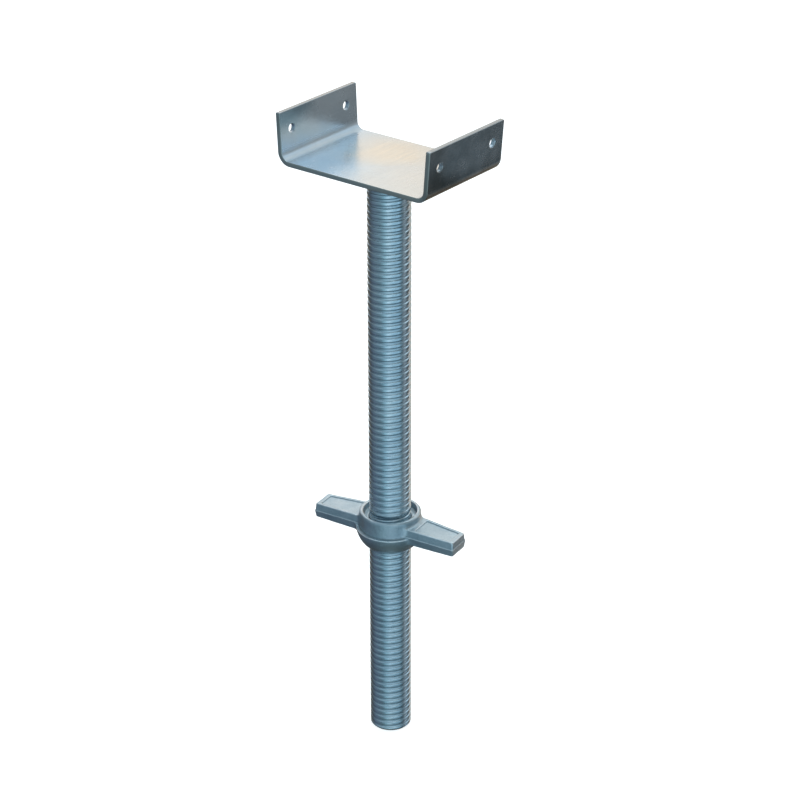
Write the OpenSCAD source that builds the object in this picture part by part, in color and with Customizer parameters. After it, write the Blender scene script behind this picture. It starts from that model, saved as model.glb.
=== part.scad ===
// Adjustable U-head jack for a scaffold or shoring tube: a threaded
// spindle with a folded fork head welded on its upper end, and a cast
// wing nut that runs on the thread.
//
// Millimetres, +Z up.  The origin is the centre of the spindle's lower
// end.  X runs across the fork, from one flange to the other, and Y runs
// along the channel, the way a beam lies in it.

/* [Spindle] */
// Outside diameter over the crests of the rolled thread
spindle_d = 38; // [34:0.5:40]
// Length from the lower end up to the underside of the fork head
spindle_len = 556; // [400:1:900]
// Wall thickness of the spindle tube, at the crests
spindle_wall = 5; // [3:0.5:8]
// Advance of the nut for one turn
thread_pitch = 6; // [5:0.5:8]
// Chamfer on the lower end, the lead-in of the thread
end_chamfer = 1.5; // [0.5:0.5:3]

/* [Fork head] */
// Width outside the flanges, at the base of the bends
fork_w = 156; // [120:1:220]
// Length of the channel
fork_l = 102.5; // [84:0.5:160]
// Height from the underside of the web to the top of the flanges
fork_h = 45.5; // [38:0.5:90]
// Thickness of the plate
plate_t = 4.2; // [3:0.1:6]
// Inside radius of the two bends
bend_r = 7; // [4:0.5:9]
// Outward lean of the left flange (-X), in degrees
lean_left = 2.5; // [0:0.1:6]
// Outward lean of the right flange (+X), in degrees
lean_right = 4.4; // [0:0.1:6]
// Diameter of the nail holes
hole_d = 8; // [5:0.5:12]
// Height of the nail holes above the underside of the web
hole_z = 28.7; // [24:0.1:31]
// Distance between the two nail holes of one flange
hole_spacing = 72.5; // [40:0.5:72.5]
// Leg of the fillet weld between spindle and web
weld_leg = 6; // [3:0.5:8]

/* [Wing nut body] */
// Number of thread turns from the spindle's lower end up to the nut's rim
nut_turns = 38; // [8:1:60]
// Outside diameter of the collar
collar_d = 56; // [55:0.2:64]
// Height of the collar
collar_h = 16; // [14:0.5:22]
// Inside diameter of the cup that takes the end of a scaffold tube
cup_d = 48.8; // [48.5:0.1:50.5]
// Depth of the cup
cup_depth = 6; // [5:0.5:13]
// Radius of the soft outer edge on the collar's rim
rim_round = 2.3; // [0.6:0.1:2.4]
// Diameter of the ball that the boss below the collar is part of
boss_d = 63.2; // [62:0.2:68]
// Height of that ball's centre above the collar's lower edge
boss_rise = 4.4; // [3.6:0.2:6]
// Height of that boss
boss_h = 17.5; // [12:0.5:18]
// Radius of the boss's lower edge
boss_edge = 2; // [0.5:0.5:3]
// Radial clearance of the nut on the spindle
nut_clearance = 0.1; // [0.02:0.01:0.1]

/* [Wings] */
// Direction of the wings about the spindle, in degrees from +X
wing_angle = 6.6; // [-90:0.1:90]
// Reach of the left wing (-X) from the axis, over the parting line
reach_left = 74; // [60:0.5:110]
// Reach of the right wing (+X) from the axis, over the parting line
reach_right = 72.1; // [60:0.1:110]
// Width of a wing's top face at its root, 30 mm from the axis
wing_root_w = 27.5; // [20:0.5:32]
// Width of a wing's top face at its tip
wing_tip_w = 21.8; // [14:0.2:26]
// Depth of a wing's top face below the collar's rim, at its root
wing_drop = 7.4; // [4:0.2:8]
// Thickness of a wing at its root
wing_t = 14.8; // [10:0.2:15]
// Thickness of a wing at its tip
wing_tip_t = 13.6; // [8:0.2:15]
// How far the sides bulge at the parting line
wing_bulge = 1.6; // [0.5:0.1:3]
// Downward slope of the wings, in degrees
wing_droop = 2.6; // [0:0.1:6]
// Width of the raised rim round the recess in a wing's top
wing_rim = 3; // [2:0.5:5]
// Depth of that recess
wing_recess = 1; // [0.5:0.1:2]

/* [Hidden] */
$fn = 96;
eps = 0.01;
spindle_r = spindle_d / 2;
bend_ro = bend_r + plate_t;
// thinning of each face in the bends, and how far a bend runs into the
// flats
bend_thin = 0.03;
bend_lap = 0.2;
// the rim sits a whole number of turns above the spindle's lower end
nut_z = min(nut_turns * thread_pitch, spindle_len - weld_leg - 8);
nut_bore_r = spindle_r + nut_clearance;
collar_r = collar_d / 2;
boss_r = boss_d / 2;
// radius of the boss's flat underside
seat_r = sqrt(boss_r * boss_r - pow(boss_h + boss_rise, 2));
edge_r = 1.2;

// ---------------------------------------------------------------- spindle
// The thread is rolled into a tube, so it is shallow.  The body is drawn
// at the crests' diameter.
module spindle() {
    color([0.53, 0.64, 0.70])
    difference() {
        union() {
            cylinder(r1 = spindle_r - end_chamfer, r2 = spindle_r, h = end_chamfer);
            translate([0, 0, end_chamfer])
                cylinder(r = spindle_r, h = spindle_len - end_chamfer);
        }
        translate([0, 0, -1])
            cylinder(r = spindle_r - spindle_wall, h = spindle_len + 2);
    }
}

// --------------------------------------------------------------- fork head
// X of a bend's centre: the flange's outer face would meet the underside
// of the web at half the fork's width
function bend_x(lean) =
    fork_w / 2 + bend_ro * tan(lean) - bend_ro / cos(lean);
// distance along the flange, from the end of the bend, to the height z of
// its outer face
function along(z, lean) = (z - bend_ro + bend_ro * sin(lean)) / cos(lean);

// Section of one bend and its flange, in the XZ plane, for the +X side.
// A folded plate is a little thinner in the bend, so the bend runs into
// the flats at both its ends.
module flange_section(lean) {
    translate([bend_x(lean), bend_ro]) {
        intersection() {
            difference() {
                circle(r = bend_ro - bend_thin);
                circle(r = bend_r + bend_thin);
            }
            polygon([[0, 0], [-bend_lap, -2 * bend_ro],
                     [2 * bend_ro, -2 * bend_ro],
                     [2 * bend_ro * cos(lean), -2 * bend_ro * sin(lean) + bend_lap]]);
        }
        rotate(-lean)
            translate([bend_r, 0])
                square([plate_t, along(fork_h, lean)]);
    }
}

module flange_holes(lean) {
    translate([bend_x(lean), 0, bend_ro])
        rotate([0, lean, 0])
            for (s = [-1, 1])
                translate([bend_r - 1, s * hole_spacing / 2, along(hole_z, lean)])
                    rotate([0, 90, 0])
                        cylinder(d = hole_d, h = plate_t + 2);
}

module u_head() {
    color([0.62, 0.68, 0.72])
    translate([0, 0, spindle_len])
    difference() {
        rotate([90, 0, 0])
            linear_extrude(height = fork_l, center = true) {
                translate([-bend_x(lean_left), 0])
                    square([bend_x(lean_left) + bend_x(lean_right), plate_t]);
                flange_section(lean_right);
                mirror([1, 0]) flange_section(lean_left);
            }
        flange_holes(lean_right);
        mirror([1, 0, 0]) flange_holes(lean_left);
    }
}

// -------------------------------------------------------------- weld bead
// A fillet weld all round, with a slightly hollow face
module weld_bead() {
    color([0.45, 0.48, 0.50])
    translate([0, 0, spindle_len])
        rotate_extrude()
            difference() {
                translate([spindle_r, -weld_leg]) square([weld_leg, weld_leg]);
                translate([spindle_r + 1.9 * weld_leg, -1.9 * weld_leg])
                    circle(r = 1.9 * weld_leg * 0.985);
                // the toes run out on the tube and on the plate
                translate([spindle_r, -weld_leg])
                    polygon([[0, -1], [weld_leg + 1, -1], [weld_leg + 1, weld_leg],
                             [weld_leg, weld_leg], [0, 0]]);
            }
}

// --------------------------------------------------------------- wing nut
// Half-width of the top face of a wing that reaches r, at a distance u
// from the axis
function wing_w(u, r) = (wing_root_w
    + (wing_tip_w - wing_root_w) * (u - 30) / (r - 32)) / 2;
// Height of a wing's top face, below the rim
function wing_z(u) = -wing_drop - (u - 30) * tan(wing_droop);
function wing_thick(u, r) =
    wing_t + (wing_tip_t - wing_t) * (u - 30) / (r - 30);

module bead_at(u, w, z) {
    for (s = [-1, 1])
        translate([u - edge_r, s * (w - edge_r), z])
            sphere(r = edge_r, $fn = 16);
}

// The flat hexagon of a wing's section: its top, its parting line, where
// the mould's halves meet, and its underside
module wing_station(r, u_top, u_mid, u_low, grow = 0) {
    bead_at(u_top, wing_w(u_top, r) + grow, wing_z(u_top) - edge_r + grow / 2);
    bead_at(u_mid, wing_w(u_mid, r) + wing_bulge + grow,
            wing_z(u_mid) - 0.44 * wing_t);
    bead_at(u_low, wing_w(u_low, r) + grow,
            wing_z(u_low) - wing_thick(u_low, r) + edge_r - grow);
}

module wing(r) {
    hull() {
        wing_station(r, 20, 20, 20);
        wing_station(r, r - 2, r, r - 1);
    }
    // the root swells into the boss
    hull() {
        wing_station(r, 20, 20, 20, 3);
        wing_station(r, 37, 37, 37, -0.2);
    }
}

module wing_recess_cut(r) {
    a = 33;
    b = r - 2 - wing_rim;
    translate([30, 0, -wing_drop])
        rotate([0, wing_droop, 0])
            translate([-30, 0, -wing_recess])
                linear_extrude(height = 6)
                    polygon([[a, -wing_w(a, r) + wing_rim],
                             [b, -wing_w(b, r) + wing_rim],
                             [b, wing_w(b, r) - wing_rim],
                             [a, wing_w(a, r) - wing_rim]]);
}

module wing_nut() {
    color([0.50, 0.59, 0.64])
    translate([0, 0, nut_z])
    rotate([0, 0, wing_angle])
    difference() {
        union() {
            // the collar, with a soft outer edge on its rim
            rotate_extrude()
                difference() {
                    translate([0, -collar_h - 1])
                        square([collar_r, collar_h + 1]);
                    translate([collar_r - rim_round, -rim_round])
                        difference() {
                            square(rim_round + 1);
                            circle(r = rim_round);
                        }
                }
            // the boss is part of a ball, wider than the collar, which leaves
            // a ledge between them
            rotate_extrude()
                difference() {
                    intersection() {
                        translate([0, boss_rise - collar_h])
                            circle(r = boss_r);
                        translate([0, -collar_h - boss_h])
                            square([boss_r, boss_h]);
                    }
                    translate([0, -collar_h - boss_h])
                        polygon([[seat_r - boss_edge, -1], [seat_r + 5, -1],
                                 [seat_r + 5, 5 + boss_edge],
                                 [seat_r - boss_edge, 0]]);
                }
            wing(reach_right);
            rotate([0, 0, 180]) wing(reach_left);
        }
        // threaded bore, drawn at the crests' diameter plus the clearance
        translate([0, 0, -collar_h - boss_h - 1])
            cylinder(r = nut_bore_r, h = collar_h + boss_h + 2);
        // cup and its chamfered mouth
        translate([0, 0, -cup_depth]) cylinder(d = cup_d, h = cup_depth + 20);
        translate([0, 0, -0.4])
            cylinder(r1 = cup_d / 2, r2 = cup_d / 2 + 0.8, h = 0.8);
        // lead-in at the bore's lower end
        translate([0, 0, -collar_h - boss_h - eps])
            cylinder(r1 = nut_bore_r + 1, r2 = nut_bore_r, h = 1);
        wing_recess_cut(reach_right);
        rotate([0, 0, 180]) wing_recess_cut(reach_left);
    }
}

spindle();
u_head();
weld_bead();
wing_nut();
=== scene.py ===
import math

import bpy
import numpy as np
from mathutils import Matrix, Vector


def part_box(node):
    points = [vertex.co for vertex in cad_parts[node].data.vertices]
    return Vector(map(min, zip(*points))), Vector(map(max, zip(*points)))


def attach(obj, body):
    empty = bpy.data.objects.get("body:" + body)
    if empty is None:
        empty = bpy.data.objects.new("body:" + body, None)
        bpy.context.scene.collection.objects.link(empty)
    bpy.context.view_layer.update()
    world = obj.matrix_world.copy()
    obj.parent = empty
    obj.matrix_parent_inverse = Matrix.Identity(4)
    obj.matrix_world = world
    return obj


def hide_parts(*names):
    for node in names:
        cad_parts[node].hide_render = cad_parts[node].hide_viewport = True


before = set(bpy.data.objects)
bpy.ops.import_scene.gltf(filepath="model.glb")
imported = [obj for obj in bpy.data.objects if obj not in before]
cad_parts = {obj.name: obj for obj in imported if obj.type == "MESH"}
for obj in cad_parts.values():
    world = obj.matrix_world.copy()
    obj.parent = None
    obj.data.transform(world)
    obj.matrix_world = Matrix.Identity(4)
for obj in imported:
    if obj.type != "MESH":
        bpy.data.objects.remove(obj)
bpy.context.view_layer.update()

scene = bpy.context.scene
MM = 0.001


# ---------------------------------------------------------------- camera
# The photograph's own view: position in metres, then the picture's right,
# up and forward axes, each in the shared frame.
def make_camera():
    f_px, pitch, yaw, roll = 2282.103, 26.397, 0.300, -0.067
    dist, high, turn = 1802.053, 675.978, 37.974
    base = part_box("u_head")[0][2] / MM
    th, psi, rho = (math.radians(a) for a in (pitch, yaw, roll))
    fwd = np.array([math.sin(psi) * math.cos(th), math.cos(psi) * math.cos(th), -math.sin(th)])
    right = np.cross(fwd, [0, 0, 1.0])
    right /= np.linalg.norm(right)
    up = np.cross(right, fwd)
    r2 = right * math.cos(rho) + up * math.sin(rho)
    u2 = -right * math.sin(rho) + up * math.cos(rho)
    # half a pixel between the fitted principal point and the frame's centre
    fwd = fwd - 0.5 / f_px * r2 + 0.5 / f_px * u2
    fwd /= np.linalg.norm(fwd)
    r2 = r2 - fwd * (r2 @ fwd)
    r2 /= np.linalg.norm(r2)
    u2 = np.cross(r2, fwd)
    a = math.radians(turn)
    rz = np.array([[math.cos(a), -math.sin(a), 0], [math.sin(a), math.cos(a), 0], [0, 0, 1.0]])
    r2, u2, fwd = rz @ r2, rz @ u2, rz @ fwd
    pos = rz @ np.array([0, -dist, high + base]) * MM
    cam = bpy.data.cameras.new("camera")
    cam.sensor_width = 36.0
    cam.lens = f_px * 36.0 / 800.0
    cam.clip_start, cam.clip_end = 0.05, 50.0
    ob = bpy.data.objects.new("camera", cam)
    scene.collection.objects.link(ob)
    m = Matrix.Identity(4)
    for i in range(3):
        m[i][0], m[i][1], m[i][2], m[i][3] = r2[i], u2[i], -fwd[i], pos[i]
    ob.matrix_world = m
    scene.camera = ob
    return ob


camera = make_camera()


# ---------------------------------------------------------------- helpers
def make_object(name, verts, polys, smooth=True, sharp=None):
    """A mesh object from vertices in millimetres and arrays of triangles or quads."""
    polys = [np.asarray(p, dtype=np.int64) for p in polys if len(p)]
    me = bpy.data.meshes.new(name)
    v = np.asarray(verts, dtype=float) * MM
    loops = np.concatenate([p.ravel() for p in polys]).astype(np.int32)
    totals = np.concatenate([np.full(len(p), p.shape[1]) for p in polys])
    starts = np.concatenate([[0], np.cumsum(totals)[:-1]]).astype(np.int32)
    me.vertices.add(len(v))
    me.vertices.foreach_set("co", v.ravel())
    me.loops.add(len(loops))
    me.loops.foreach_set("vertex_index", loops)
    me.polygons.add(len(totals))
    me.polygons.foreach_set("loop_start", starts)
    me.update(calc_edges=True)
    me.validate()
    if smooth:
        me.shade_smooth()
        if sharp:
            me.set_sharp_from_angle(angle=math.radians(sharp))
    ob = bpy.data.objects.new(name, me)
    scene.collection.objects.link(ob)
    return ob


def smoothstep(a, b, x):
    t = np.clip((x - a) / (b - a), 0, 1)
    return t * t * (3 - 2 * t)


def value_noise(x, y, z, cell, seed):
    """Smooth noise from 0 to 1 on a seeded lattice of the given cell size."""
    rng = np.random.RandomState(seed)
    n = 32
    lat = rng.rand(n, n, n)
    g = [np.asarray(c, float) / cell + 1000.0 for c in (x, y, z)]
    i = [np.floor(c).astype(np.int64) for c in g]
    f = [c - k for c, k in zip(g, i)]
    f = [c * c * (3 - 2 * c) for c in f]
    out = 0.0
    for dx in (0, 1):
        wx = f[0] if dx else 1 - f[0]
        for dy in (0, 1):
            wy = f[1] if dy else 1 - f[1]
            for dz in (0, 1):
                wz = f[2] if dz else 1 - f[2]
                out = out + wx * wy * wz * lat[(i[0] + dx) % n, (i[1] + dy) % n, (i[2] + dz) % n]
    return out


# --------------------------------------------------------------- the thread
PITCH = 6.0
CREST_R = 19.0
DEPTH = 0.75      # depth of the root below the crest's shoulders
CROWN = 0.10      # how much the crest itself is rounded
THREAD_Z = 0.0    # height of the root's middle at angle 0


def thread_drop(theta, z):
    """How far the thread's surface lies below the crests' diameter."""
    ph = np.mod(z - THREAD_Z - PITCH * theta / (2 * np.pi), PITCH)
    d = np.minimum(ph, PITCH - ph)
    return DEPTH * (1 - smoothstep(0.85, 1.60, d)) + CROWN * ((3 - d) / 3) ** 2


def spindle_mesh():
    lo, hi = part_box("spindle")
    length = (hi[2] - lo[2]) / MM
    n = 60
    ph = np.array([0, .65, .88, 1.05, 1.22, 1.40, 1.62, 2.2])
    ph = np.concatenate([ph, [3.0], PITCH - ph[:0:-1]])
    m = len(ph)
    turns = int(length / PITCH) + 4
    k = np.arange(turns * m)
    zk = (k // m) * PITCH + ph[k % m] - 2 * PITCH + THREAD_Z
    theta = 2 * np.pi * np.arange(n) / n
    z = zk[None, :] + PITCH * np.arange(n)[:, None] / n           # n x K
    klo = (z <= 0.02).sum(1) - 1
    khi = (z < length - 0.02).sum(1)
    kk = np.clip(k[None, :], klo[:, None], khi[:, None])
    ident = np.arange(n)[:, None] * len(k) + kk
    zc = np.take_along_axis(z, kk, 1)
    zc = np.clip(zc, 0, length)
    th = np.repeat(theta[:, None], len(k), 1)
    r = CREST_R - 0.01 - thread_drop(th, zc)
    r = np.minimum(r, CREST_R - 1.6 + zc)
    # a trace of unevenness, as rolled thread has
    r -= 0.05 * value_noise(np.cos(th) * 19, np.sin(th) * 19, zc, 7.0, 5)
    flat = np.stack([r * np.cos(th), r * np.sin(th), zc], -1)

    kq = np.arange(len(k) - 1 - m)
    quads = []
    for i in range(n):
        j, s = (i + 1, 0) if i + 1 < n else (0, m)
        a, d = ident[i, kq], ident[i, kq + 1]
        b, c = ident[j, kq + s], ident[j, kq + 1 + s]
        quads.append(np.stack([a, b, c, d], 1))
    quads = np.concatenate(quads)
    low = quads[:, 0] == quads[:, 3]
    high = quads[:, 1] == quads[:, 2]
    tri1 = quads[low & ~high][:, [0, 1, 2]]
    tri2 = quads[high & ~low][:, [0, 1, 3]]
    quads = quads[~low & ~high]
    # only the vertices in use are kept
    bottom, top = ident[np.arange(n), klo], ident[np.arange(n), khi]
    allv = flat.reshape(-1, 3)
    used = np.unique(np.concatenate([quads.ravel(), tri1.ravel(), tri2.ravel(), bottom, top]))
    remap = -np.ones(n * len(k), int)
    remap[used] = np.arange(len(used))
    # vertex idents index straight into the n x K table
    verts = [allv[used]]
    polys = [remap[quads], remap[tri1], remap[tri2]]
    count = len(used)
    bore = CREST_R - 5.0
    rings = [(bore + 1.9, 0.0), (bore + 0.8, 0.0), (bore + 0.25, 0.18), (bore, 0.7)]
    rings += [(bore, zz) for zz in (6, 30, 90, 200, 320, 440, length - 4)] + [(bore, length)]
    prev = remap[bottom]
    for rr, zz in rings:
        ring = np.stack([rr * np.cos(theta), rr * np.sin(theta), 0 * theta + zz], 1)
        verts.append(ring)
        cur = count + np.arange(n)
        count += n
        nxt = np.roll(np.arange(n), -1)
        polys.append(np.stack([prev, cur, cur[nxt], prev[nxt]], 1))
        prev = cur
    t = remap[top]
    nxt = np.roll(np.arange(n), -1)
    polys.append(np.stack([prev, t, t[nxt], prev[nxt]], 1))
    return np.concatenate(verts), polys


# ---------------------------------------------------------------- fork head
def u_head_mesh():
    lo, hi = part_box("u_head")
    t, ro, fork_w, fork_h = 4.2, 11.2, 156.0, 45.5
    half, rm = t / 2, ro - t / 2
    z0 = lo[2] / MM
    ymax = hi[1] / MM - 0.05
    edge, hole_r, hole_e = 0.5, 4.0, 0.35
    hole_y, hole_z = 36.25, 28.7
    lean = {-1: math.radians(2.5), 1: math.radians(4.4)}
    bx, phi, flen, hs = {}, {}, {}, {}
    for s, le in lean.items():
        bx[s] = fork_w / 2 + ro * math.tan(le) - ro / math.cos(le)
        phi[s] = math.pi / 2 - le
        along = lambda zz: (zz - ro + ro * math.sin(le)) / math.cos(le)
        flen[s] = along(fork_h)
        hs[s] = along(hole_z)

    # lines across the developed plate, from the left top edge to the right
    def side_lines(s):
        w, b = bx[s], phi[s] * rm
        out = list(np.linspace(w, w + b, 15)[1:])
        f0 = w + b
        c = f0 + hs[s]
        end = f0 + flen[s] - edge
        out += list(np.linspace(f0, c - 9, 5)[1:])
        hole = len(out) - 1
        out += list(np.linspace(c - 9, c + 9, 9)[1:])
        out += list(np.linspace(c + 9, end - 0.7, 4)[1:]) + [end - 0.35, end]
        return np.array(out), hole, c

    left, hl, cl = side_lines(-1)
    right, hr, cr = side_lines(1)
    web = np.linspace(-bx[-1], bx[1], 41)
    S = np.concatenate([-left[::-1], web, right])
    i_r = len(left) + len(web) + hr            # first line of the right square
    i_l = len(left) - 1 - hl - 8
    ya = ymax - edge
    y = [-ya, -ya + .35, -ya + .7, -47.6, -hole_y - 9]
    y += list(np.linspace(-hole_y - 9, -hole_y + 9, 9)[1:])
    j_f = 4
    y += list(np.linspace(-hole_y + 9, hole_y - 9, 23)[1:])
    j_b = len(y) - 1
    y += list(np.linspace(hole_y - 9, hole_y + 9, 9)[1:])
    y += [47.6, ya - .7, ya - .35, ya]
    Y = np.array(y)
    ns, ny = len(S), len(Y)
    SS, YY = np.meshgrid(S, Y, indexing="ij")
    SS, YY = SS.copy(), YY.copy()
    # rounded corners of the blank
    for si, cs in ((1, S[-1] - 0.7), (-1, S[0] + 0.7)):
        for yi, cy in ((1, ya - 0.7), (-1, -ya + 0.7)):
            u, v = si * (SS - cs) / 0.7, yi * (YY - cy) / 0.7
            m = (u > 1e-9) & (v > 1e-9)
            f = np.maximum(u[m], v[m]) / np.hypot(u[m], v[m])
            SS[m] = cs + si * u[m] * f * 0.7
            YY[m] = cy + yi * v[m] * f * 0.7
    sy = np.stack([SS.ravel(), YY.ravel()], 1)
    gid = np.arange(ns * ny).reshape(ns, ny)
    skip = np.zeros((ns - 1, ny - 1), bool)
    loops, quads2 = [], []
    extra = []
    count = ns * ny
    for i0, c in ((i_l, -cl), (i_r, cr)):
        for j0, cy in ((j_f, -hole_y), (j_b, hole_y)):
            skip[i0:i0 + 8, j0:j0 + 8] = True
            sq = ([gid[i0 + a, j0] for a in range(8)] + [gid[i0 + 8, j0 + a] for a in range(8)]
                  + [gid[i0 + 8 - a, j0 + 8] for a in range(8)] + [gid[i0, j0 + 8 - a] for a in range(8)])
            sq = np.array(sq)
            p = sy[sq]
            ang = np.arctan2(p[:, 1] - cy, p[:, 0] - c)
            circ = np.stack([c + (hole_r + hole_e) * np.cos(ang), cy + (hole_r + hole_e) * np.sin(ang)], 1)
            prev = sq
            for f in (0.35, 0.62, 0.82, 0.94, 1.0):
                extra.append(p * (1 - f) + circ * f)
                cur = count + np.arange(32)
                count += 32
                nx = np.roll(np.arange(32), -1)
                quads2.append(np.stack([prev, prev[nx], cur[nx], cur], 1))
                prev = cur
            loops.append((prev, (c, cy)))
    sy = np.concatenate([sy] + extra)
    ii, jj = np.nonzero(~skip)
    cells = np.stack([gid[ii, jj], gid[ii + 1, jj], gid[ii + 1, jj + 1], gid[ii, jj + 1]], 1)
    flat = np.concatenate([cells] + quads2)
    n2 = len(sy)
    pts = [np.column_stack([sy, np.full(n2, half)]), np.column_stack([sy, np.full(n2, -half)])]
    polys = [flat, flat[:, ::-1] + n2]
    total = 2 * n2

    def skirt(loop, normal, e):
        """The rounded sheared edge between the two faces, along one loop."""
        nonlocal total
        k = len(loop)
        nx = np.roll(np.arange(k), -1)
        prof = [(e * math.sin(a), half - e * (1 - math.cos(a))) for a in np.radians([30, 60, 90])]
        prof += [(e, half - e - (2 * half - 2 * e) * q) for q in (0.33, 0.66)]
        prof += [(o, -w) for o, w in prof[2::-1]]
        prev = loop
        for o, w in prof:
            pts.append(np.column_stack([sy[loop] + normal * o, np.full(k, w)]))
            cur = total + np.arange(k)
            total += k
            polys.append(np.stack([prev, cur, cur[nx], prev[nx]], 1))
            prev = cur
        cur = loop + n2
        polys.append(np.stack([prev, cur, cur[nx], prev[nx]], 1))

    outer = np.concatenate([gid[:-1, 0], gid[-1, :-1], gid[:0:-1, -1], gid[0, :0:-1]])
    p = sy[outer]
    tang = np.roll(p, -1, 0) - np.roll(p, 1, 0)
    tang /= np.linalg.norm(tang, axis=1)[:, None]
    skirt(outer, np.column_stack([tang[:, 1], -tang[:, 0]]), edge)
    for loop, c in loops:
        d = np.array(c) - sy[loop]
        loop, d = loop[::-1], d[::-1]
        skirt(loop, d / np.linalg.norm(d, axis=1)[:, None], hole_e)

    P = np.concatenate(pts)
    s, yy, w = P[:, 0].copy(), P[:, 1].copy(), P[:, 2].copy()
    # the plate is not quite flat, and draws in a little on the bends' outside
    sg = np.where(s < 0, -1, 1)
    aw = np.where(s < 0, bx[-1], bx[1])
    ab = np.where(s < 0, phi[-1], phi[1]) * rm
    sa = np.abs(s)
    in_bend = np.clip((sa - aw) / ab, 0, 1)
    hump = np.sin(np.pi * in_bend) ** 1.0
    yy *= 1 - (0.25 - 0.12 * w / half) * hump / 51.0
    warp = value_noise(s, yy, 0 * s, 34.0, 11) + 0.5 * value_noise(s, yy, 0 * s, 15.0, 12)
    w = w * 0.99 + np.where(sa > aw + ab, 0.10, 0.05) * warp
    out = np.zeros((len(s), 3))
    m = sa <= aw
    out[m, 0], out[m, 2] = s[m], half + w[m]
    m = (sa > aw) & (sa <= aw + ab)
    a = (sa[m] - aw[m]) / rm
    out[m, 0] = sg[m] * (aw[m] + (rm - w[m]) * np.sin(a))
    out[m, 2] = ro - (rm - w[m]) * np.cos(a)
    m = sa > aw + ab
    a = ab[m] / rm
    tau = sa[m] - aw[m] - ab[m]
    out[m, 0] = sg[m] * (aw[m] + (rm - w[m]) * np.sin(a) + tau * np.cos(a))
    out[m, 2] = ro - (rm - w[m]) * np.cos(a) + tau * np.sin(a)
    out[:, 1] = yy
    out[:, 2] += z0
    return out, polys


# ---------------------------------------------------------------- weld bead
def weld_mesh():
    lo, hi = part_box("weld_bead")
    z1 = hi[2] / MM
    leg = (hi[2] - lo[2]) / MM
    n, m = 240, 15
    th = 2 * np.pi * np.arange(n) / n
    q = np.linspace(0, 1, m)
    # from the toe on the spindle to the toe on the plate, a slightly hollow face
    tt, qq = np.meshgrid(th, q, indexing="ij")
    legr = leg * (0.93 + 0.07 * value_noise(np.cos(tt) * 20, np.sin(tt) * 20, 0 * tt, 6.0, 3))
    r = CREST_R - 1.2 + (legr + 1.2) * qq
    z = -legr * (1 - qq)
    sag = 0.75 * np.sin(np.pi * qq)
    # the ripples of the pass, bowed as the pool leaves them
    run = tt * 22.0 + 1.6 * (2 * qq - 1) ** 2
    wave = np.mod(run, 2.4) / 2.4
    ripple = (0.34 * np.minimum(wave / 0.8, (1 - wave) / 0.2) + 0.10 * np.sin(run * 1.7)) * np.sin(np.pi * qq) ** 0.6
    out = ripple - sag * 0.35
    nr, nz = math.sqrt(0.5), -math.sqrt(0.5)
    r = r + out * nr
    z = z + out * nz
    r, z = np.minimum(r, 24.95), np.minimum(z, -0.02)
    v = np.stack([r * np.cos(tt), r * np.sin(tt), z1 + z], -1).reshape(-1, 3)
    idx = np.arange(n * m).reshape(n, m)
    nx = np.roll(np.arange(n), -1)
    quads = [np.stack([idx[:, k], idx[nx, k], idx[nx, k + 1], idx[:, k + 1]], 1) for k in range(m - 1)]
    # closed at the back, inside the metal of the spindle
    inner = np.stack([16.0 * np.cos(th), 16.0 * np.sin(th), 0 * th + z1 - 0.05], 1)
    inner2 = np.stack([16.0 * np.cos(th), 16.0 * np.sin(th), 0 * th + z1 - leg], 1)
    a = n * m + np.arange(n)
    b = a + n
    quads.append(np.stack([idx[:, -1], idx[nx, -1], a[nx], a], 1))
    quads.append(np.stack([a, a[nx], b[nx], b], 1))
    quads.append(np.stack([b, b[nx], idx[nx, 0], idx[:, 0]], 1))
    return np.concatenate([v, inner, inner2]), quads


# ----------------------------------------------------------------- wing nut
def smin(a, b, k):
    h = np.clip(0.5 + 0.5 * (b - a) / k, 0, 1)
    return b * (1 - h) + a * h - k * h * (1 - h)


def smax(a, b, k):
    return -smin(-a, -b, k)


NUT = dict(collar_r=28.0, collar_h=16.0, cup_r=24.4, cup_depth=6.0, boss_r=31.6, boss_h=17.5, rise=4.4,
           angle=6.6, root_w=27.5, tip_w=21.8, drop=7.4, t=15.0, tip_t=14.0,
           droop=math.tan(math.radians(2.6)), rim=3.0, recess=1.0)


def wing_field(u, v, z, reach):
    g = NUT
    w = (g["root_w"] + (g["tip_w"] - g["root_w"]) * (u - 30) / (reach - 32)) / 2
    zt = -g["drop"] - (u - 30) * g["droop"]
    th = g["t"] + (g["tip_t"] - g["t"]) * (u - 30) / (reach - 30)
    zm = zt - 0.44 * g["t"]
    zb = zt - th
    av = np.abs(v)
    # the shallow recess in the top, inside a raised rim
    inside = smin(w - g["rim"] - av, np.minimum(reach - 2 - g["rim"] - u, u - 32.5), 1.6)
    top = z - (zt - g["recess"] * smoothstep(-0.4, 0.5, inside))
    up = (zt - z) / (zt - zm)
    dn = (z - zb) / (zm - zb)
    # steep walls with draft; the lower half of the mould left the wider casting
    step = smoothstep(-0.25, 0.25, zm - z)
    side = av - w - (1 - step) * 0.7 * up - step * (0.1 + 1.4 * dn)
    end = u - reach + (1 - step) * (0.8 - 0.3 * up) + step * (0.75 - 0.75 * dn)
    wall = smax(side * 0.985, end * 0.99, 1.6)
    low = zb - z
    d = smax(wall, top, 0.9)
    d = smax(d, low, 1.2)
    return np.maximum(d, 16.0 - u)


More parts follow.
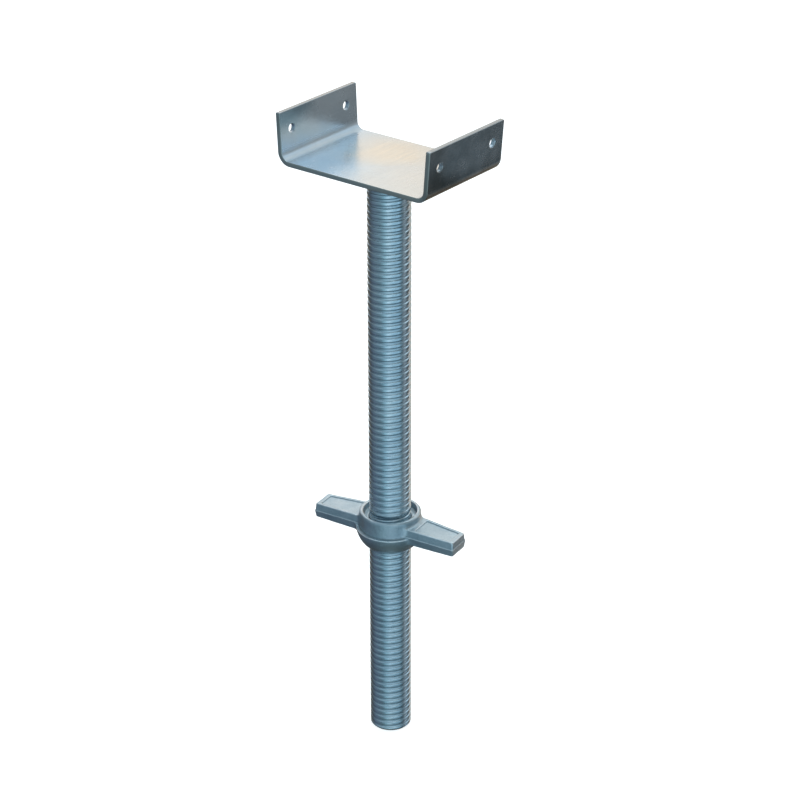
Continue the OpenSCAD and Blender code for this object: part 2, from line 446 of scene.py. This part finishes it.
def nut_field(x, y, z):
    """Distance-like field of the casting, negative inside; z = 0 at the rim, wings along x."""
    g = NUT
    rho = np.hypot(x, y)
    collar = smax(rho - g["collar_r"], z, 2.7)
    collar = np.maximum(collar, -z - g["collar_h"] - 2)
    boss = np.sqrt(rho ** 2 + (z + g["collar_h"] - g["rise"]) ** 2) - g["boss_r"]
    boss = smax(boss, z + g["collar_h"], 0.6)
    body = smin(collar, boss, 0.3)
    body = smax(body, -z - g["collar_h"] - g["boss_h"], 3.4)
    wings = smin(wing_field(x, y, z, 72.1), wing_field(-x, -y, z, 74.0), 0.5)
    body = smin(body, wings, 2.8)
    # nothing of the fillets stands above the rim or below the seat
    body = smax(body, z, 0.3)
    body = body - 0.16 * (value_noise(x, y, z, 9.0, 21) - 0.5) - 0.09 * (value_noise(x, y, z, 3.2, 22) - 0.5)
    cup = smax(rho - g["cup_r"], -g["cup_depth"] - z, 1.6)
    mouth = np.where(z > -4, (rho - (g["cup_r"] + 0.5 + z)) * 0.7071, 1e3)
    body = smax(body, -np.minimum(cup, mouth), 0.5)
    # the thread, with running clearance on the spindle's
    ang = np.arctan2(y, x) + math.radians(g["angle"])
    bore = CREST_R + 0.33 - thread_drop(ang, z + NUT_Z)
    bore = np.maximum(bore, CREST_R - 0.6 + (-g["cup_depth"] - 1.2 - z) * -1.0)
    bore = np.maximum(bore, CREST_R - 0.2 + (-31.9 - z))
    bore = np.minimum(bore, 21.0)
    return smax(body, (bore - rho) * 0.92, 0.25)


def surface_net(field, lo, hi, h):
    """Quads on the zero surface of a field, moved onto the surface itself."""
    ax = [np.arange(a, b + h, h) for a, b in zip(lo, hi)]
    nx, ny, nz = (len(a) for a in ax)
    F = np.empty((nx, ny, nz))
    Yg, Zg = np.meshgrid(ax[1], ax[2], indexing="ij")
    step = 24
    for i in range(0, nx, step):
        xs = ax[0][i:i + step]
        X = np.broadcast_to(xs[:, None, None], (len(xs), ny, nz))
        F[i:i + step] = field(X, np.broadcast_to(Yg, X.shape), np.broadcast_to(Zg, X.shape))
    stride = np.array([ny * nz, nz, 1])
    cell_pts, cell_ids, quads = [], [], []
    for a in range(3):
        b, c = (a + 1) % 3, (a + 2) % 3
        sl0 = [slice(None)] * 3
        sl1 = [slice(None)] * 3
        sl0[a], sl1[a] = slice(0, -1), slice(1, None)
        A, B = F[tuple(sl0)], F[tuple(sl1)]
        idx = np.stack(np.nonzero((A < 0) != (B < 0)), 1)
        fa, fb = A[tuple(idx.T)], B[tuple(idx.T)]
        p = idx.astype(float)
        p[:, a] += fa / (fa - fb)
        base = idx @ stride
        four = np.stack([base, base - stride[b], base - stride[b] - stride[c], base - stride[c]], 1)
        for q in range(4):
            cell_ids.append(four[:, q])
            cell_pts.append(p)
        quads.append(np.where((fa < 0)[:, None], four, four[:, ::-1]))
    ids = np.concatenate(cell_ids)
    pts = np.concatenate(cell_pts)
    uniq, inv = np.unique(ids, return_inverse=True)
    n = np.bincount(inv)
    v = np.stack([np.bincount(inv, pts[:, k]) / n for k in range(3)], 1)
    v = v * h + np.array(lo)
    quads = np.searchsorted(uniq, np.concatenate(quads))
    e = 0.06
    for _ in range(3):
        f = field(v[:, 0], v[:, 1], v[:, 2])
        grad = np.stack([(field(v[:, 0] + e * (k == 0), v[:, 1] + e * (k == 1), v[:, 2] + e * (k == 2))
                          - field(v[:, 0] - e * (k == 0), v[:, 1] - e * (k == 1), v[:, 2] - e * (k == 2))) / (2 * e)
                         for k in range(3)], 1)
        g2 = np.maximum((grad ** 2).sum(1), 0.2)
        mv = -(f / g2)[:, None] * grad
        ln = np.linalg.norm(mv, axis=1)
        mv *= np.minimum(1, 0.5 * h / np.maximum(ln, 1e-9))[:, None]
        v = v + mv
    return v, quads


NUT_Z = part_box("wing_nut")[1][2] / MM


def nut_mesh():
    h = 0.56
    v, q = surface_net(nut_field, (-75.3, -32.3, -34.6), (73.7, 32.3, 1.1), h)
    a = math.radians(NUT["angle"])
    x, y = v[:, 0].copy(), v[:, 1].copy()
    v[:, 0] = x * math.cos(a) - y * math.sin(a)
    v[:, 1] = x * math.sin(a) + y * math.cos(a)
    v[:, 2] += NUT_Z
    return v, [q]


# ---------------------------------------------------------------- materials
class Nodes:
    """A small helper for building a node tree."""

    def __init__(self, tree):
        self.t = tree

    def new(self, kind, **props):
        n = self.t.nodes.new(kind)
        for k, v in props.items():
            setattr(n, k, v)
        return n

    def put(self, sock, value):
        if isinstance(value, bpy.types.NodeSocket):
            self.t.links.new(value, sock)
        else:
            sock.default_value = value

    def math(self, op, a, b=0.0, c=0.0, clamp=False):
        n = self.new("ShaderNodeMath", operation=op, use_clamp=clamp)
        self.put(n.inputs[0], a)
        self.put(n.inputs[1], b)
        self.put(n.inputs[2], c)
        return n.outputs[0]

    def vec(self, op, a, b=None):
        n = self.new("ShaderNodeVectorMath", operation=op)
        self.put(n.inputs[0], a)
        if b is not None:
            self.put(n.inputs[1], b)
        return n.outputs["Value"] if op in ("DOT_PRODUCT", "LENGTH") else n.outputs["Vector"]

    def split(self, vector):
        n = self.new("ShaderNodeSeparateXYZ")
        self.put(n.inputs[0], vector)
        return n.outputs[0], n.outputs[1], n.outputs[2]

    def span(self, value, a, b, c=0.0, d=1.0, smooth=True):
        n = self.new("ShaderNodeMapRange", interpolation_type="SMOOTHSTEP" if smooth else "LINEAR")
        for i, x in enumerate((value, a, b, c, d)):
            self.put(n.inputs[i], x)
        return n.outputs[0]

    def mix(self, fac, a, b, blend="MIX"):
        n = self.new("ShaderNodeMix", data_type="RGBA", blend_type=blend)
        self.put(n.inputs[0], fac)
        self.put(n.inputs[6], a if isinstance(a, bpy.types.NodeSocket) else (*a, 1.0))
        self.put(n.inputs[7], b if isinstance(b, bpy.types.NodeSocket) else (*b, 1.0))
        return n.outputs[2]

    def scaled(self, coord, scale):
        return self.vec("MULTIPLY", coord, scale)

    def noise(self, coord, scale, detail=3.0, rough=0.5, distort=0.0):
        n = self.new("ShaderNodeTexNoise")
        self.put(n.inputs["Vector"], coord)
        n.inputs["Scale"].default_value = scale
        n.inputs["Detail"].default_value = detail
        n.inputs["Roughness"].default_value = rough
        n.inputs["Distortion"].default_value = distort
        return n.outputs[0]

    def bump(self, height, strength, distance, normal=None):
        n = self.new("ShaderNodeBump")
        n.inputs["Strength"].default_value = strength
        n.inputs["Distance"].default_value = distance
        self.put(n.inputs["Height"], height)
        if normal is not None:
            self.put(n.inputs["Normal"], normal)
        return n.outputs[0]


def new_material(name):
    m = bpy.data.materials.new(name)
    m.use_nodes = True
    n = Nodes(m.node_tree)
    bsdf = next(x for x in m.node_tree.nodes if x.type == "BSDF_PRINCIPLED")
    coord = n.new("ShaderNodeTexCoord").outputs["Object"]
    return m, n, bsdf, coord


def zinc_plate_material():
    m, n, bsdf, co = new_material("zinc_plate")
    bsdf.inputs["Metallic"].default_value = 1.0
    # passivation: a blue cast that varies in tone from place to place
    cloud = n.span(n.noise(co, 16.0, 3.0, 0.5, 0.4), 0.35, 0.65)
    base = n.mix(cloud, (0.60, 0.69, 0.76), (0.66, 0.71, 0.75))
    # painted reflection: the web is tinted warm over its right, most in a patch behind its middle, in place of the warm
    # light it reflects
    x, y, z = n.split(co)
    stray = n.math("MULTIPLY_ADD", n.noise(co, 22.0, 2.0), 0.05, -0.025)
    warm_reflection = n.math("MULTIPLY", n.span(n.math("ADD", x, stray), -0.035, 0.05, 0.0, 0.5),
                   n.span(x, 0.066, 0.074, 1.0, 0.0))
    away = n.vec("LENGTH", n.vec("MULTIPLY", n.vec("SUBTRACT", co, (-0.010, 0.021, 0.520)), (0.75, 1.0, 0.3)))
    warm_reflection_patch = n.span(n.math("MULTIPLY_ADD", stray, 0.6, away), 0.008, 0.054, 0.95, 0.0)
    base = n.mix(n.math("MAXIMUM", warm_reflection, warm_reflection_patch), base, (0.80, 0.725, 0.61))
    # faint lines of the rolled strip, along the plate
    lines = n.noise(n.scaled(co, (900.0, 22.0, 900.0)), 1.0, 3.0, 0.6)
    base = n.mix(n.math("MULTIPLY", n.span(lines, 0.35, 0.7), 0.16), base, (0.46, 0.51, 0.55))
    # spangle and small dull stains
    spots = n.span(n.noise(co, 260.0, 4.0, 0.65), 0.56, 0.72)
    base = n.mix(n.math("MULTIPLY", spots, 0.10), base, (0.42, 0.46, 0.48))
    lo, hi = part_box("u_head")
    # painted shade: the left flange is darkened towards its front top corner, and the right one low down outside and
    # towards its front
    high = n.span(n.math("MULTIPLY_ADD", stray, 0.5, z), lo[2] + 0.022, hi[2] - 0.004)
    painted_shade = n.math("MULTIPLY", n.math("MULTIPLY", n.span(x, -0.075, -0.070, 1.0, 0.0), high),
                 n.span(n.math("ADD", y, stray), -0.034, 0.006, 1.0, 0.0))
    base = n.mix(painted_shade, base, (0.30, 0.41, 0.48))
    # painted shade low down on the right flange
    low_shade = n.span(n.math("MULTIPLY_ADD", stray, 0.6, n.math("MULTIPLY_ADD", y, 0.16, z)), lo[2] + 0.002, lo[2] + 0.026, 1.0, 0.0)
    painted_shade = n.math("MULTIPLY", n.span(x, 0.070, 0.076), low_shade)
    base = n.mix(n.math("MULTIPLY", painted_shade, 0.92), base, (0.13, 0.15, 0.15))
    # painted shade on the right flange towards its front
    painted_shade = n.math("MULTIPLY", n.span(x, 0.070, 0.076), n.span(n.math("ADD", y, stray), -0.046, -0.020, 1.0, 0.0))
    base = n.mix(n.math("MULTIPLY", painted_shade, 0.5), base, (0.30, 0.29, 0.27))
    # the folds, where the zinc was stretched, are matt inside
    fold = n.math("MULTIPLY", n.span(n.math("ABSOLUTE", x), 0.0640, 0.0680), n.span(z, lo[2] + 0.0105, lo[2] + 0.0145, 1.0, 0.0))
    centre = n.vec("SUBTRACT", n.vec("MULTIPLY", n.vec("ABSOLUTE", co), (1.0, 0.0, 1.0)), (0.0668, 0.0, lo[2] + 0.0112))
    fold = n.math("MULTIPLY", fold, n.span(n.vec("LENGTH", centre), 0.0085, 0.0095, 1.0, 0.0))
    # the sheared edges are duller, and the arrises along the back edge and the flange tops carry a painted shade line
    shear = n.span(n.math("ABSOLUTE", y), 0.0506, 0.0510)
    base = n.mix(n.math("MULTIPLY", shear, 0.75), base, (0.45, 0.455, 0.40))
    arris_shade = n.math("MAXIMUM", n.span(y, hi[1] - 0.0011, hi[1] - 0.0007), n.span(z, hi[2] - 0.0011, hi[2] - 0.0007))
    base = n.mix(n.math("MULTIPLY", arris_shade, 0.85), base, (0.42, 0.44, 0.45))
    rough = n.span(n.noise(co, 55.0, 4.0, 0.6), 0.3, 0.75, 0.21, 0.28)
    rough = n.math("ADD", rough, n.math("MULTIPLY", spots, 0.03))
    rough = n.math("ADD", rough, n.math("MULTIPLY", n.math("MAXIMUM", shear, n.math("MULTIPLY", fold, 0.9)), 0.15))
    n.put(bsdf.inputs["Base Color"], base)
    n.put(bsdf.inputs["Roughness"], rough)
    fine = n.bump(n.noise(co, 1500.0, 3.0, 0.6), 0.16, 0.0002)
    fine = n.bump(lines, 0.10, 0.0002, fine)
    n.put(bsdf.inputs["Normal"], fine)
    return m


def rolled_zinc_material():
    m, n, bsdf, co = new_material("rolled_zinc")
    bsdf.inputs["Metallic"].default_value = 1.0
    rad = n.vec("LENGTH", n.scaled(co, (1.0, 1.0, 0.0)))
    root_shade = n.span(rad, 0.0180, 0.0186, 1.0, 0.0)
    cloud = n.span(n.noise(n.scaled(co, (1.0, 1.0, 0.35)), 30.0, 3.0, 0.55, 0.3), 0.35, 0.68)
    base = n.mix(cloud, (0.54, 0.68, 0.77), (0.62, 0.74, 0.80))
    # painted shade: the thread's roots are darkened a little
    base = n.mix(n.math("MULTIPLY", root_shade, 0.10), base, (0.24, 0.32, 0.36))
    # the rolls leave fine streaks along the thread
    streak = n.span(n.noise(n.scaled(co, (16.0, 16.0, 380.0)), 1.0, 3.0, 0.6), 0.42, 0.62)
    base = n.mix(n.math("MULTIPLY", streak, 0.30), base, (0.36, 0.47, 0.55))
    spots = n.span(n.noise(co, 420.0, 4.0, 0.65), 0.55, 0.72)
    base = n.mix(n.math("MULTIPLY", spots, 0.25), base, (0.34, 0.42, 0.46))
    n.put(bsdf.inputs["Base Color"], base)
    rough = n.span(n.noise(co, 120.0, 4.0, 0.6), 0.3, 0.75, 0.20, 0.27)
    rough = n.math("ADD", rough, n.math("MULTIPLY", root_shade, 0.08))
    n.put(bsdf.inputs["Roughness"], rough)
    fine = n.bump(n.noise(n.scaled(co, (1.0, 1.0, 2.6)), 900.0, 3.0, 0.6), 0.22, 0.0003)
    n.put(bsdf.inputs["Normal"], fine)
    return m


def cast_zinc_material():
    m, n, bsdf, co = new_material("cast_zinc")
    bsdf.inputs["Metallic"].default_value = 1.0
    cloud = n.span(n.noise(co, 42.0, 4.0, 0.6, 0.3), 0.33, 0.68)
    base = n.mix(cloud, (0.45, 0.55, 0.61), (0.55, 0.64, 0.69))
    pits = n.span(n.noise(co, 700.0, 4.0, 0.7), 0.54, 0.70)
    base = n.mix(n.math("MULTIPLY", pits, 0.30), base, (0.26, 0.32, 0.36))
    # handling has brightened the edges, and the same lightening paints a highlight along them
    point = n.new("ShaderNodeNewGeometry").outputs["Pointiness"]
    wear_and_highlight = n.span(point, 0.510, 0.548)
    base = n.mix(n.math("MULTIPLY", wear_and_highlight, 0.85), base, (0.90, 0.93, 0.94))
    # and painted shade darkens the corners and hollows
    corner_shade = n.span(point, 0.462, 0.492, 1.0, 0.0)
    base = n.mix(n.math("MULTIPLY", corner_shade, 0.6), base, (0.16, 0.20, 0.22))
    n.put(bsdf.inputs["Base Color"], base)
    rough = n.span(n.noise(co, 90.0, 4.0, 0.6), 0.3, 0.75, 0.36, 0.48)
    rough = n.math("ADD", rough, n.math("MULTIPLY", pits, 0.12))
    rough = n.math("SUBTRACT", rough, n.math("MULTIPLY", wear_and_highlight, 0.12))
    n.put(bsdf.inputs["Roughness"], rough)
    coarse = n.bump(n.noise(co, 260.0, 4.0, 0.6), 0.35, 0.0012)
    fine = n.bump(n.noise(co, 1100.0, 3.0, 0.65), 0.30, 0.0004, coarse)
    n.put(bsdf.inputs["Normal"], fine)
    return m


def weld_material():
    m, n, bsdf, co = new_material("weld")
    bsdf.inputs["Metallic"].default_value = 1.0
    cloud = n.span(n.noise(co, 110.0, 4.0, 0.6, 0.4), 0.33, 0.68)
    base = n.mix(cloud, (0.34, 0.38, 0.40), (0.50, 0.53, 0.55))
    # heat tint, straw to blue, in patches
    tint = n.span(n.noise(co, 60.0, 2.0, 0.5), 0.5, 0.68)
    base = n.mix(n.math("MULTIPLY", tint, 0.45), base, (0.42, 0.36, 0.27))
    soot = n.span(n.noise(co, 500.0, 4.0, 0.7), 0.55, 0.7)
    base = n.mix(n.math("MULTIPLY", soot, 0.5), base, (0.12, 0.13, 0.14))
    n.put(bsdf.inputs["Base Color"], base)
    rough = n.span(n.noise(co, 300.0, 4.0, 0.6), 0.3, 0.75, 0.32, 0.58)
    n.put(bsdf.inputs["Roughness"], rough)
    n.put(bsdf.inputs["Normal"], n.bump(n.noise(co, 1200.0, 3.0, 0.6), 0.3, 0.0003))
    return m


# ------------------------------------------------------------------- pieces
def build(name, mesh, node, body, material, sharp=None):
    ob = make_object(name, *mesh, sharp=sharp)
    ob.data.materials.append(material)
    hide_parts(node)
    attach(ob, body)
    return ob


build("spindle_thread", spindle_mesh(), "spindle", "jack", rolled_zinc_material(), 50)
build("fork_head", u_head_mesh(), "u_head", "jack", zinc_plate_material())
build("weld_pass", weld_mesh(), "weld_bead", "jack", weld_material())
build("wing_nut_casting", nut_mesh(), "wing_nut", "nut", cast_zinc_material())


# -------------------------------------------------------------------- light
def direction(az, el):
    """Azimuth from -Y towards +X, elevation above the horizon."""
    a, e = math.radians(az), math.radians(el)
    return (math.sin(a) * math.cos(e), -math.cos(a) * math.cos(e), math.sin(e))


def make_world():
    world = bpy.data.worlds.new("studio")
    scene.world = world
    world.use_nodes = True
    t = world.node_tree
    t.nodes.clear()
    n = Nodes(t)
    d = n.vec("NORMALIZE", n.new("ShaderNodeTexCoord").outputs["Generated"])

    def add(total, mask, colour):
        return n.mix(1.0, total, n.mix(mask, (0, 0, 0), colour), "ADD")

    # soft panels: direction, tightness (a Gaussian's, in 1/radian^2) and radiance
    panels = [
        (168, 6, 40.0, (1.60, 1.44, 1.28)),
        (244, 79, 14.0, (1.15, 1.40, 1.58)),
        (191, 70, 40.0, (0.92, 1.43, 1.50)),
        (221, 30, 120.0, (1.09, 1.22, 1.30)),
        (176, -27, 120.0, (1.35, 1.16, 1.09)),
        (143, 27, 40.0, (0.92, 1.18, 1.37)),
        (159, 45, 120.0, (1.05, 1.19, 1.23)),
        (146, -45, 120.0, (1.12, 1.11, 1.07)),
        (241, 14, 40.0, (0.89, 0.91, 1.05)),
        (58, 28, 14.0, (0.90, 0.86, 0.85)),
        (35, -22, 40.0, (0.72, 0.80, 0.88)),
        (88, -19, 40.0, (0.56, 0.76, 0.92)),
        (204, 50, 6.0, (0.75, 0.74, 0.74)),
        (128, -7, 40.0, (0.61, 0.64, 0.66)),
        (229, 21, 120.0, (0.64, 0.56, 0.52)),
        (213, -8, 6.0, (0.70, 0.57, 0.41)),
        (56, -15, 40.0, (0.38, 0.50, 0.59)),
        (123, 20, 40.0, (0.42, 0.42, 0.42)),
        (346, 19, 2.5, (0.29, 0.39, 0.46)),
        (125, -27, 120.0, (0.40, 0.35, 0.36)),
        (15, -28, 40.0, (0.24, 0.40, 0.46)),
        (68, -26, 40.0, (0.23, 0.30, 0.36)),
        (139, -36, 120.0, (0.11, 0.28, 0.41)),
        (51, 11, 2.5, (0.09, 0.23, 0.28)),
        (53, -83, 14.0, (0.17, 0.20, 0.19)),
        (303, -38, 14.0, (0.07, 0.08, 0.13)),
    ]
    sky = n.mix(0.0, (0, 0, 0), (0, 0, 0))
    for az, el, tight, colour in panels:
        dot = n.vec("DOT_PRODUCT", d, direction(az, el))
        sky = add(sky, n.math("EXPONENT", n.math("MULTIPLY_ADD", dot, tight, -tight)), colour)

    bg = n.new("ShaderNodeBackground")
    n.put(bg.inputs["Color"], sky)
    white = n.new("ShaderNodeBackground")
    white.inputs["Color"].default_value = (1, 1, 1, 1)
    path = n.new("ShaderNodeLightPath")
    mix = n.new("ShaderNodeMixShader")
    t.links.new(path.outputs["Is Camera Ray"], mix.inputs[0])
    t.links.new(bg.outputs[0], mix.inputs[1])
    t.links.new(white.outputs[0], mix.inputs[2])
    out = n.new("ShaderNodeOutputWorld")
    t.links.new(mix.outputs[0], out.inputs["Surface"])


def make_floor():
    v = np.array([[-9, -9, 0], [9, -9, 0], [9, 9, 0], [-9, 9, 0]], float) / MM
    v[:, 2] = -0.2
    ob = make_object("floor", v, [np.array([[0, 1, 2, 3]])], smooth=False)
    m = bpy.data.materials.new("floor")
    m.use_nodes = True
    bsdf = next(x for x in m.node_tree.nodes if x.type == "BSDF_PRINCIPLED")
    bsdf.inputs["Base Color"].default_value = (0.86, 0.86, 0.86, 1)
    bsdf.inputs["Roughness"].default_value = 0.9
    bsdf.inputs["Specular IOR Level"].default_value = 0.0
    bsdf.inputs["Emission Color"].default_value = (1, 1, 1, 1)
    bsdf.inputs["Emission Strength"].default_value = 0.75
    n = Nodes(m.node_tree)
    mix = n.new("ShaderNodeMixShader")
    n.put(mix.inputs[0], n.new("ShaderNodeNewGeometry").outputs["Backfacing"])
    m.node_tree.links.new(bsdf.outputs[0], mix.inputs[1])
    m.node_tree.links.new(n.new("ShaderNodeBsdfTransparent").outputs[0], mix.inputs[2])
    out = next(x for x in m.node_tree.nodes if x.type == "OUTPUT_MATERIAL")
    m.node_tree.links.new(mix.outputs[0], out.inputs["Surface"])
    ob.data.materials.append(m)
    ob.visible_glossy = False
    ob.visible_diffuse = False


make_world()
make_floor()
scene.view_settings.view_transform = "Standard"
